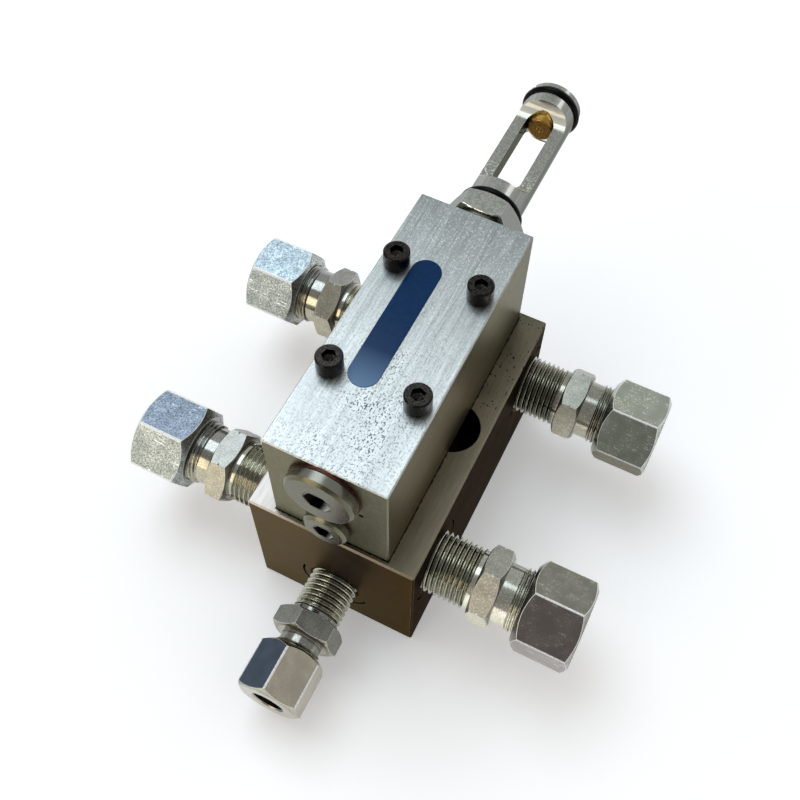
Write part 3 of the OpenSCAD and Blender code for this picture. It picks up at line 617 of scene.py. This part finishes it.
def fitting_bar_steel(name, along, across, thread, thread_end, dulled=1.0):
    """Zinc plate on turned hexagon bar: flats speckled by the plating bath, bright turned
    necks, and roots between the crests of the thread painted dark as shade. Light is painted
    in by place and facing too: shade on the back right and the left fittings, the table's
    reflection underneath and highlights on flats that face forwards. Specks and turning
    rings are coarser than real ones, so that they show.

    along is the axis that the fittings lie on, across gives each other axis's nearest
    fitting centre as (middle, half spacing) in millimetres, and the thread ends at
    thread_end from the part's middle."""
    material, add, shader, place, at, facing = start_finish(name)
    offsets = []
    for axis, (middle, half) in across.items():
        centred = add("Math", (at[axis], middle * MM), operation="SUBTRACT")
        centred = add("Math", (centred,), operation="ABSOLUTE")
        offsets.append(add("Math", (centred, half * MM), operation="SUBTRACT"))
    radius = add("VectorMath", (add("CombineXYZ", offsets),), operation="LENGTH")
    radius = radius.outputs["Value"]
    run = add("Math", (at[along],), operation="ABSOLUTE")
    crest, root = thread["major"] / 2, thread["minor"] / 2

    specks, cloud = [
        add("TexNoise", {"Vector": place, "Scale": 1 / (size * MM), "Detail": detail})
        for size, detail in ((0.5, 0.0), (4, 2.0))]
    turned = add("TexNoise", {"Vector": add("Mapping", {"Vector": add("CombineXYZ",
                 (run, radius)), "Scale": per_mm(0.14)}), "Scale": 1.0, "Detail": 2.0})
    in_thread = add("MapRange", (run, thread_end * MM, (thread_end - 0.3) * MM, 0.0, 1.0))
    # painted shade: the roots of the thread are darkened
    greasy = add("MapRange", (radius, (crest - 0.15) * MM, (root + 0.1) * MM, 0.0, 1.0))
    greasy = add("Math", (in_thread, greasy), operation="MULTIPLY")
    # painted shade: the back right fitting is painted darker
    behind = add("Math", (add("MapRange", (at["Y"], 0.0, 30 * MM, 0.0, 0.32)),
                          add("MapRange", (at["X"], -20 * MM, 20 * MM, 0.0, 1.0))),
                 operation="MULTIPLY")
    shade = add("MapRange", (specks, 0.48, 0.66, 0.92, 1.24))
    for factor in (add("MapRange", (cloud, *NOISE, 0.86, 1.1)),
                   add("MapRange", (turned, *NOISE, 0.92, 1.08)),
                   add("MapRange", (greasy, 0.0, 1.0, 1.0, 0.72)),
                   add("MapRange", (in_thread, 0.0, 1.0, dulled, 1.0)),
                   add("Math", (1.0, behind), operation="SUBTRACT")):
        shade = add("Math", (shade, factor), operation="MULTIPLY")
    # painted reflection and shade: the underside, away from the window, is painted browner as
    # the table's reflection; the left fittings are painted greyer as shade, flats that face
    # forwards paler and beige as the front lamp's reflection; the thread is greener
    under = add("MapRange", (facing["Z"], 0.35, -0.5, 0.0, 1.0))
    left = add("MapRange", (at["X"], 20 * MM, -20 * MM, 0.0, 1.0))
    ahead = add("MapRange", (facing["Y"], -0.35, -0.75, 0.0, 1.0))
    ahead_tone = add("Mix", {"Factor": left, "A": colour("#f2ecd8"), "B": colour("#b9b29c")},
                     data_type="RGBA")
    ground = colour("#aaaba0")
    for factor, tone in ((under, colour("#77705c")), (left, colour("#959590")),
                         (ahead, ahead_tone), (in_thread, colour("#b4b3a2"))):
        ground = add("Mix", {"Factor": factor, "A": ground, "B": tone}, data_type="RGBA")
    smooth = add("MapRange", (radius, (crest + 0.6) * MM, (crest + 0.4) * MM, 0.0, 1.0))
    rough = add("MapRange", (specks, *NOISE, 0.31, 0.35))
    add(shader, {
        "Base Color": add("Mix", {"Factor": 1.0, "A": ground, "B": shade},
                          data_type="RGBA", blend_type="MULTIPLY"),
        "Metallic": 1.0,
        "Roughness": add("Mix", {"Factor": smooth, "A": rough, "B": 0.15},
                         data_type="FLOAT"),
        "Normal": add("Bump", {"Height": specks, "Strength": 0.03, "Distance": 0.02 * MM})})
    return material


# radii from which the nuts' corners are painted white as a highlight, on the right, left
# and outlet nuts
RIGHT_CORNER, LEFT_CORNER, OUTLET_CORNER = 15.96, 15.86, 11.9
OUTLET_NUT_Y = (-66, -70)       # the outlet nut lies in front of these
LEFT_NUT_X = (-30, -40)         # the left nuts lie beyond these


def nut_bar_steel():
    """Bright zinc plate on smooth hexagon bar: fine grain, short stray scratches and white
    specks of plating salt; the left-hand nuts are coarser, with their tops painted pale blue
    as the window's reflection. Light is painted in too: paler nuts behind, a warmer grey on
    forward faces in front, brown undersides as the table's reflection and white corners as
    a highlight.
    The scratches are wider than real ones, so that they show."""
    material, add, shader, place, at, facing = start_finish("blue_passivated_zinc_nut_steel")
    left = add("MapRange", (at["X"], *[x * MM for x in LEFT_NUT_X], 0.0, 1.0))
    back = add("MapRange", (at["Y"], -20 * MM, 20 * MM, 0.0, 1.0))
    outlet_range = [y * MM for y in OUTLET_NUT_Y]
    grain, cloud = [
        add("TexNoise", {"Vector": place, "Scale": 1 / (size * MM), "Detail": detail})
        for size, detail in ((0.55, 1.0), (5, 2.0))]
    salt = add("TexVoronoi", {"Vector": place, "Scale": 1 / (1.6 * MM)})
    # scratches and salt lie in patches, few on top and hardly any on the outlet nut
    patch = add("MapRange", (cloud, 0.46, 0.53, 0.15, 3.4))
    for share in (add("MapRange", (facing["Z"], 0.5, 0.75, 1.0, 0.35)),
                  add("MapRange", (at["Y"], *outlet_range, 1.0, 0.12))):
        patch = add("Math", (patch, share), operation="MULTIPLY")
    fine = add("MapRange", (grain, *NOISE, -1.0, 1.0))
    depth = add("MapRange", (left, 0.0, 1.0, 0.05, 0.5))
    shade = add("Math", (fine, depth, 1.0), operation="MULTIPLY_ADD")
    shade = add("Math", (shade, add("MapRange", (cloud, 0.35, 0.65, 0.9, 1.08))),
                operation="MULTIPLY")
    for turn, size in (((0.5, 0.3, 0.9), (0.3, 4, 0.3)), ((0.9, 1.1, 0.2), (3, 0.3, 0.3))):
        scratch = add("TexNoise", {"Vector": add("Mapping", {"Vector": place,
                      "Rotation": turn, "Scale": per_mm(*size)}), "Scale": 1.0,
                      "Detail": 1.0})
        scratch = add("MapRange", (scratch, 0.67, 0.71, 0.0, 1.0))
        scratch = add("Math", (scratch, patch), operation="MULTIPLY")
        shade = add("Math", (shade, scratch), operation="ADD")
    white = add("MapRange", (salt.outputs["Distance"], 0.15, 0.09, 0.0, 0.7))
    shade = add("Math", (shade, add("Math", (white, patch), operation="MULTIPLY")),
                operation="ADD")

    # painted reflection: the tops of the left nuts are painted pale blue, paler behind, as the
    # window's reflection
    blue = add("Math", (left, add("MapRange", (facing["Z"], 0.75, 0.95, 0.0, 1.0))),
               operation="MULTIPLY")
    blue_tone = add("Mix", {"Factor": back, "A": colour("#8e9baa"), "B": colour("#a9b9c1")},
                    data_type="RGBA")
    # painted light and shade: the nuts behind are painted paler, and faces turned forwards on
    # the front nuts a warmer grey
    ahead = add("MapRange", (facing["Y"], -0.35, -0.6, 0.0, 1.0))
    ahead = add("Math", (ahead, add("Math", (1.0, back), operation="SUBTRACT")),
                operation="MULTIPLY")
    # the outlet nut is painted beige, and dark blue as painted shade on the side away from the
    # front lamp
    outlet = add("MapRange", (at["Y"], *outlet_range, 0.0, 1.0))
    away = add("MapRange", (facing["X"], -0.25, -0.5, 0.0, 1.0))
    outlet_tone = add("Mix", {"Factor": away, "A": colour("#b3ad9c"), "B": colour("#515d6b")},
                      data_type="RGBA")
    # painted reflection: undersides are painted brown as the table's reflection
    under = add("MapRange", (facing["Z"], -0.1, -0.5, 0.0, 1.0))
    ground = colour("#8c8c82")
    for factor, tone in ((back, colour("#aab0a3")), (ahead, colour("#958c87")),
                         (left, colour("#979e9a")), (blue, blue_tone),
                         (outlet, outlet_tone), (under, colour("#5a5138"))):
        ground = add("Mix", {"Factor": factor, "A": ground, "B": tone}, data_type="RGBA")
    tone = add("Mix", {"Factor": 1.0, "A": ground, "B": shade}, data_type="RGBA",
               blend_type="MULTIPLY")

    # painted highlight: the corners between the flats are painted white, widest on the left
    # nuts
    from_row = add("Math", (at["Y"], LINE_MIDDLE_Y * MM), operation="SUBTRACT")
    from_row = add("Math", (from_row,), operation="ABSOLUTE")
    from_row = add("Math", (from_row, LINE_HALF_SPACING * MM), operation="SUBTRACT")
    start = add("MapRange", (left, 0.0, 1.0, RIGHT_CORNER * MM, LEFT_CORNER * MM))
    rubs = []
    for beside, axis_height, corner in ((from_row, LINE_Z, start),
                                        (at["X"], OUTLET_Z, OUTLET_CORNER * MM)):
        above = add("Math", (at["Z"], axis_height * MM), operation="SUBTRACT")
        radius = add("VectorMath", (add("CombineXYZ", (beside, above)),),
                     operation="LENGTH").outputs["Value"]
        rubs.append(add("Math", (radius, corner), operation="GREATER_THAN"))
    rubbed = add("Mix", {"Factor": outlet, "A": rubs[0], "B": rubs[1]}, data_type="FLOAT")
    rubbed = add("Math", (rubbed, add("MapRange", (grain, 0.3, 0.6, 0.5, 0.9))),
                 operation="MULTIPLY")
    add(shader, {
        "Base Color": add("Mix", {"Factor": rubbed, "A": tone, "B": colour("#ffffff")},
                          data_type="RGBA"),
        "Metallic": add("Math", (1.0, rubbed), operation="SUBTRACT"),
        # painted reflection: the undersides' specular tint is browned as the table's
        "Specular Tint": add("Mix", {"Factor": under, "A": colour("#ffffff"),
                                     "B": colour("#9a927a")}, data_type="RGBA"),
        "Roughness": add("MapRange", (left, 0.0, 1.0, 0.19, 0.3)),
        "Normal": add("Bump", {"Height": grain, "Strength": 0.15, "Distance": 0.02 * MM})})
    return material


def turned_finish(name, pale, dark, axis_height, roughness, ring, specks_share,
                  socket=None):
    """Metal turned in a lathe about an axis along Y at a height in millimetres: fine rings
    round the axis over a light speckle. A key socket, given by its half width, is painted
    dark as shade with a painted highlight on its lower right walls, and the rim round its
    face is painted paler as a highlight. The rings are coarser than real ones, so that they
    show."""
    material, add, shader, place, at, facing = start_finish(name)
    lifted = add("Math", (at["Z"], axis_height * MM), operation="SUBTRACT")
    radius = add("VectorMath", (add("CombineXYZ", (at["X"], lifted)),), operation="LENGTH")
    radius = radius.outputs["Value"]
    rings = add("TexNoise", {"Vector": add("CombineXYZ", (radius, at["Y"])),
                             "Scale": 1 / (ring * MM), "Detail": 2.0})
    specks = add("TexNoise", {"Vector": place, "Scale": 1 / (0.5 * MM), "Detail": 3.0})
    both = add("Mix", {"Factor": specks_share, "A": rings, "B": specks}, data_type="FLOAT")
    tone = add("Mix", {"Factor": add("MapRange", (both, 0.36, 0.64, 0.0, 1.0)),
                       "A": colour(dark), "B": colour(pale)}, data_type="RGBA")
    metal = 1.0
    if socket:
        # painted highlight: the rim round the face is painted paler
        rim = add("MapRange", (facing["Y"], -0.75, -0.45, 0.0, 1.0))
        inside = add("MapRange", (radius, (socket + 0.15) * MM, socket * MM, 0.0, 1.0))
        # painted shade and highlight: the socket is painted dark, and its lower right walls
        # white and scattering, as if they caught the window
        towards = add("CombineXYZ", (facing["X"], facing["Y"], facing["Z"]))
        towards = add("VectorMath", (towards, (-0.6, 0.0, 0.8)),
                      operation="DOT_PRODUCT").outputs["Value"]
        caught = add("Math", (add("MapRange", (towards, 0.4, 0.75, 0.0, 1.0)),
                              add("MapRange", (at["X"], 0.3 * MM, 2.2 * MM, 0.0, 1.0))),
                     operation="MULTIPLY")
        lit = add("Mix", {"Factor": caught, "A": colour("#2b2a22"), "B": colour("#ffffff")},
                  data_type="RGBA")
        for factor, other in ((rim, colour("#77776d")), (inside, lit)):
            tone = add("Mix", {"Factor": factor, "A": tone, "B": other}, data_type="RGBA")
        scattering = add("Math", (inside, caught), operation="MULTIPLY")
        metal = add("Math", (1.0, scattering), operation="SUBTRACT")
    add(shader, {
        "Base Color": tone, "Metallic": metal,
        "Roughness": add("MapRange", (specks, *NOISE, roughness - 0.03, roughness + 0.05)),
        "Normal": add("Bump", {"Height": rings, "Strength": 0.12, "Distance": 0.02 * MM})})
    return material


# stations along the cage, and across its slot
HEXAGON_END_Y = (70, 71)
FLATS_START_Y = (84, 72)
FLATS_END_Y = (100, 101)
SLOT_EDGE_X = (5.4, 5.2)


def indicator_cage_steel():
    """Plated steel, turned and then milled: smooth bright cylinders with fine rings, and grey
    mottled flats that sparkle at their near ends. The slot walls and what turns sideways are
    painted dark as shade; the hexagon's chamfer and the milled curve at the far end of the
    flats are painted pale as highlights. The rings are coarser than real ones, so that they
    show."""
    material, add, shader, place, at, facing = start_finish("turned_and_milled_cage_steel")
    rings = add("TexNoise", {"Vector": add("CombineXYZ", {"Y": at["Y"]}),
                             "Scale": 1 / (0.35 * MM), "Detail": 2.0})
    grain = add("TexNoise", {"Vector": place, "Scale": 1 / (0.8 * MM), "Detail": 2.0})
    flat = add("MapRange", (facing["Z"], 0.93, 0.99, 0.0, 1.0))
    beyond_hex, near, far = [
        add("MapRange", (at["Y"], *[y * MM for y in stations], 0.0, 1.0))
        for stations in (HEXAGON_END_Y, FLATS_START_Y, FLATS_END_Y)]
    # how far the surface turns to either side, and how near it is to the slot
    sideways = add("Math", (facing["X"],), operation="ABSOLUTE")
    aside = add("Math", (at["X"],), operation="ABSOLUTE")
    slot_wall = add("Math", (add("MapRange", (sideways, 0.6, 0.9, 0.0, 1.0)),
                             add("MapRange", (aside, *[x * MM for x in SLOT_EDGE_X],
                                              0.0, 1.0))), operation="MULTIPLY")
    mottle = add("MapRange", (grain, *NOISE, -1.0, 1.0))
    depth = add("MapRange", (flat, 0.0, 1.0, 0.06, 0.26))
    sparkle = add("MapRange", (grain, 0.53, 0.6, 0.0, 1.5))
    for share in (add("Math", (near, beyond_hex), operation="MULTIPLY"), flat):
        sparkle = add("Math", (sparkle, share), operation="MULTIPLY")
    shade = add("Math", (mottle, depth, 1.0), operation="MULTIPLY_ADD")
    shade = add("Math", (shade, add("MapRange", (rings, *NOISE, 0.9, 1.1))),
                operation="MULTIPLY")
    shade = add("Math", (shade, sparkle), operation="ADD")
    # painted shade and highlight: what turns sideways and the slot walls are painted darker,
    # and the hexagon's chamfer towards the block is painted bright
    for factor in (add("MapRange", (sideways, 0.25, 0.95, 1.0, 0.5)),
                   add("MapRange", (slot_wall, 0.0, 1.0, 1.0, 0.7)),
                   add("MapRange", (facing["Y"], -0.2, -0.4, 1.0, 1.8))):
        shade = add("Math", (shade, factor), operation="MULTIPLY")
    # painted shade: walls seen at a low angle get a darkened specular tint, so that they stay
    # dark, with no pale sheen
    steep = add("Math", (slot_wall, add("MapRange", (sideways, 0.55, 0.95, 0.0, 0.8))),
                operation="MAXIMUM")
    # painted highlight: the milled curve at the far end of the flats is painted matt and pale
    curve = add("MapRange", (facing["Y"], -0.1, -0.3, 0.0, 1.0))
    for share in (far, add("MapRange", (facing["Z"], 0.0, 0.2, 0.0, 0.75))):
        curve = add("Math", (curve, share), operation="MULTIPLY")
    ground = add("Mix", {"Factor": flat, "A": colour("#b7b8b2"), "B": colour("#93958d")},
                 data_type="RGBA")
    tone = add("Mix", {"Factor": 1.0, "A": ground, "B": shade}, data_type="RGBA",
               blend_type="MULTIPLY")
    add(shader, {
        "Base Color": add("Mix", {"Factor": curve, "A": tone, "B": colour("#dcd8c6")},
                          data_type="RGBA"),
        "Metallic": add("Math", (1.0, curve), operation="SUBTRACT"),
        "Specular Tint": add("Mix", {"Factor": steep, "A": colour("#ffffff"),
                                     "B": colour("#a0a098")}, data_type="RGBA"),
        "Roughness": add("MapRange", (flat, 0.0, 1.0, 0.13, 0.34)),
        "Normal": add("Bump", {"Height": rings, "Strength": 0.15, "Distance": 0.02 * MM})})
    return material


def even_finish(name, pale, dark, grain, roughness, **constants):
    """One even finish: rubber, oxide, ink, ground rod, a painted edge highlight or soft
    copper. Its grain, in millimetres, is coarser than a real one, so that it shows, and its
    constants go on the shader's own sockets."""
    material, add, shader, place, *_ = start_finish(name)
    specks = add("TexNoise", {"Vector": place, "Scale": 1 / (grain * MM), "Detail": 3.0})
    add(shader, {socket.replace("_", " "): value for socket, value in constants.items()})
    add(shader, {
        "Base Color": add("Mix", {"Factor": add("MapRange", (specks, 0.35, 0.65, 0.0, 1.0)),
                                  "A": colour(dark), "B": colour(pale)},
                          data_type="RGBA"),
        "Roughness": add("MapRange", (specks, *NOISE, roughness - 0.04, roughness + 0.06)),
        "Normal": add("Bump", {"Height": specks, "Strength": 0.2, "Distance": 0.02 * MM})})
    return material


def label_film():
    """Glossy printed film, deep blue, painted pale at its front end as the window's glare."""
    material, add, shader, place, at, _ = start_finish("printed_blue_label_film")
    cloud = add("TexNoise", {"Vector": place, "Scale": 1 / (1.5 * MM), "Detail": 2.0})
    print_tone = add("Mix", {"Factor": add("MapRange", (cloud, 0.35, 0.65, 0.0, 1.0)),
                             "A": colour("#022c54"), "B": colour("#02305a")},
                     data_type="RGBA")
    # painted glare: the front end is painted pale
    rubbed = add("MapRange", (at["Y"], -10 * MM, -24 * MM, 0.0, 1.0))
    add(shader, {
        "Base Color": add("Mix", {"Factor": rubbed, "A": print_tone,
                                  "B": colour("#6080a4")}, data_type="RGBA"),
        "Specular IOR Level": 0.12,
        "Roughness": add("MapRange", (cloud, *NOISE, 0.12, 0.18))})
    return material


aim_camera()
light_studio()
lay_table()

BLOCK = ground_block_steel()
BASE = milled_base_steel()
LINE_STUD = fitting_bar_steel(
    "line_fitting_hexagon_steel", "X",
    {"Y": (LINE_MIDDLE_Y, LINE_HALF_SPACING), "Z": (LINE_Z, 0.0)}, LINE_THREAD,
    LINE_THREAD_END)
OUTLET_STUD = fitting_bar_steel(
    "outlet_fitting_hexagon_steel", "Y", {"X": (0.0, 0.0), "Z": (OUTLET_Z, 0.0)},
    OUTLET_THREAD, OUTLET_THREAD_END, dulled=0.6)
NUT = nut_bar_steel()
# painted highlight: thin pale lines along the broken edges
WORN_EDGE = even_finish("worn_bright_plated_edge", "#ffffff", "#efeee8", 0.5, 0.26,
                        Specular_IOR_Level=1.0)
# hardened rod and pistons, ground: an even bright grey
GROUND_ROD = even_finish("hardened_ground_steel", "#b2b2b2", "#9c9c9c", 0.3, 0.2,
                         Metallic=1.0)
# turned plugs in bright zinc, greened by oil: warm grey, with the rim painted paler as a
# highlight and the socket painted dark as shade
PLUG_STEEL = turned_finish("turned_zinc_plated_steel", "#68644f", "#5c5845", METERING_Z,
                           0.24, 0.3, 0.15, socket=4.7)
PILOT_STEEL = turned_finish("turned_zinc_plated_plug_steel", "#75715b", "#625e4a",
                            PILOT_Z, 0.24, 0.3, 0.15, socket=3.55)
CAGE_STEEL = indicator_cage_steel()
# annealed washers crushed to a dull dark red
COPPER = even_finish("soft_annealed_copper", "#5e3c30", "#33201a", 0.6, 0.42,
                     Metallic=1.0)
# moulded rings, oily black with a soft highlight
RUBBER = even_finish("moulded_nitrile_rubber", "#040404", "#020202", 0.6, 0.26,
                     Specular_IOR_Level=0.08)
# turned stop screw, tarnished to a dull gold
BRASS = turned_finish("tarnished_turned_brass", "#c59b50", "#b48d4a", METERING_Z, 0.28,
                      0.4, 0.1)
# forged screws, blacked and oiled: near black with a brown cast
OXIDE = even_finish("oiled_black_oxide_steel", "#35322e", "#1b1a19", 0.5, 0.27,
                    Metallic=1.0)
FILM = label_film()
# a fitter's felt marker, matt black
INK = even_finish("black_marker_ink", "#080706", "#050404", 0.5, 0.9,
                  Specular_IOR_Level=0.0)

FINISH = {
    "ground_steel": BLOCK, "base_steel": BASE, "hardened_steel": GROUND_ROD,
    "zinc_steel": PLUG_STEEL, "turned_steel": CAGE_STEEL, "copper": COPPER,
    "nitrile_rubber": RUBBER, "brass": BRASS, "label_film": FILM,
    "black_oxide_steel": OXIDE, "fitting_steel": LINE_STUD, "nut_steel": NUT,
}
slots = {row["node"]: row["material_slot"] for row in frame["record"]["subparts"]}
for node, piece in cad.items():
    piece.data.materials.clear()
    piece.data.materials.append(FINISH[slots[node]])

# Pieces
line_sleeves = (helix_sleeve("line_thread", LINE_THREAD),
                helix_sleeve("line_nut_thread", LINE_NUT_THREAD))
outlet_sleeves = (helix_sleeve("outlet_thread", OUTLET_THREAD),
                  helix_sleeve("outlet_nut_thread", OUTLET_NUT_THREAD))
fittings = [(end, line_place(side, y, out), LINE_STUD, LINE_THREAD, LINE_NUT_THREAD,
             line_sleeves, starts, 0.7)
            for end, (side, y, out, starts) in LINE_FITTINGS.items()]
fittings.append(("outlet", outlet_place(), OUTLET_STUD, OUTLET_THREAD, OUTLET_NUT_THREAD,
                 outlet_sleeves, OUTLET_STARTS, 0.55))
for end, place, finish, stud_thread, nut_thread, sleeves, starts, nut_edge in fittings:
    stud = threaded_stud("stud_" + end, place, finish, stud_thread, nut_thread, sleeves,
                         starts)
    keep(stud, "stud_" + end, slot="fitting_steel")
    nut = copy_of("nut_" + end, "nut_" + end + "_edged")
    soften(nut, nut_edge, NUT, WORN_EDGE)
    keep(nut, "nut_" + end, slot="nut_steel")
for sleeve in line_sleeves + outlet_sleeves:
    bpy.data.objects.remove(sleeve)

for node, width, slot, finish, edge in (
        ("metering_block", 0.4, "ground_steel", BLOCK, WORN_EDGE),
        ("manifold_base", 0.42, "base_steel", BASE, WORN_EDGE),
        ("end_plug", 0.6, "zinc_steel", PLUG_STEEL, PLUG_STEEL),
        ("pilot_plug_front", 0.4, "zinc_steel", PILOT_STEEL, PILOT_STEEL),
        ("pilot_plug_rear", 0.4, "zinc_steel", PILOT_STEEL, PILOT_STEEL),
        ("indicator_cage", 0.18, "turned_steel", CAGE_STEEL, WORN_EDGE),
        *[("cap_screw_" + corner, 0.2, "black_oxide_steel", OXIDE, OXIDE)
          for corner in ("fl", "fr", "bl", "br")],
        ("stop_screw", 0.5, "brass", BRASS, BRASS),
        ("name_label", 0.12, "label_film", FILM, FILM)):
    piece = copy_of(node, node + "_edged")
    soften(piece, width, finish, edge)
    if node == "metering_block":
        # the edge against the base keeps the block's finish with its black seam, not the
        # painted edge highlight
        for face in piece.data.polygons:
            if face.center.z < (BASE_TOP + 0.6) * MM:
                face.material_index = 0
    keep(piece, node, body="stop" if node == "stop_screw" else "housing", slot=slot)

# the fitter's marker strokes round the ports: port centre, radius and two angles
SIDE_FACE = Matrix.Translation(Vector((BASE_HALF_WIDTH, 0, 0)) * MM) @ Matrix(
    ((0, 0, 1, 0), (1, 0, 0, 0), (0, 1, 0, 0), (0, 0, 0, 1)))
FRONT_FACE = Matrix.Translation(Vector((0, BASE_FRONT, 0)) * MM) @ Matrix.Rotation(
    math.pi / 2, 4, "X")
MARKS = [
    ("front_port_mark_a", SIDE_FACE, (LINE_FRONT_Y, LINE_Z), 14.2, -14, 26),
    ("front_port_mark_b", SIDE_FACE, (LINE_FRONT_Y, LINE_Z), 13.8, 200, 222),
    ("rear_port_mark_a", SIDE_FACE, (LINE_REAR_Y, LINE_Z), 14.6, 32, 62),
    ("rear_port_mark_b", SIDE_FACE, (LINE_REAR_Y, LINE_Z), 13.2, 184, 200),
    ("outlet_port_mark_a", FRONT_FACE, (0, OUTLET_Z), 11.8, 158, 214),
    ("outlet_port_mark_b", FRONT_FACE, (0, OUTLET_Z), 12.6, -62, -22),
]
for name, face, (u, v), radius, first, last in MARKS:
    piece = marker_arc(name, radius, first, last)
    piece.data.transform(face @ Matrix.Translation(Vector((u, v, 0)) * MM))
    piece.data.materials.append(INK)
    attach(piece, "housing")

deselect()
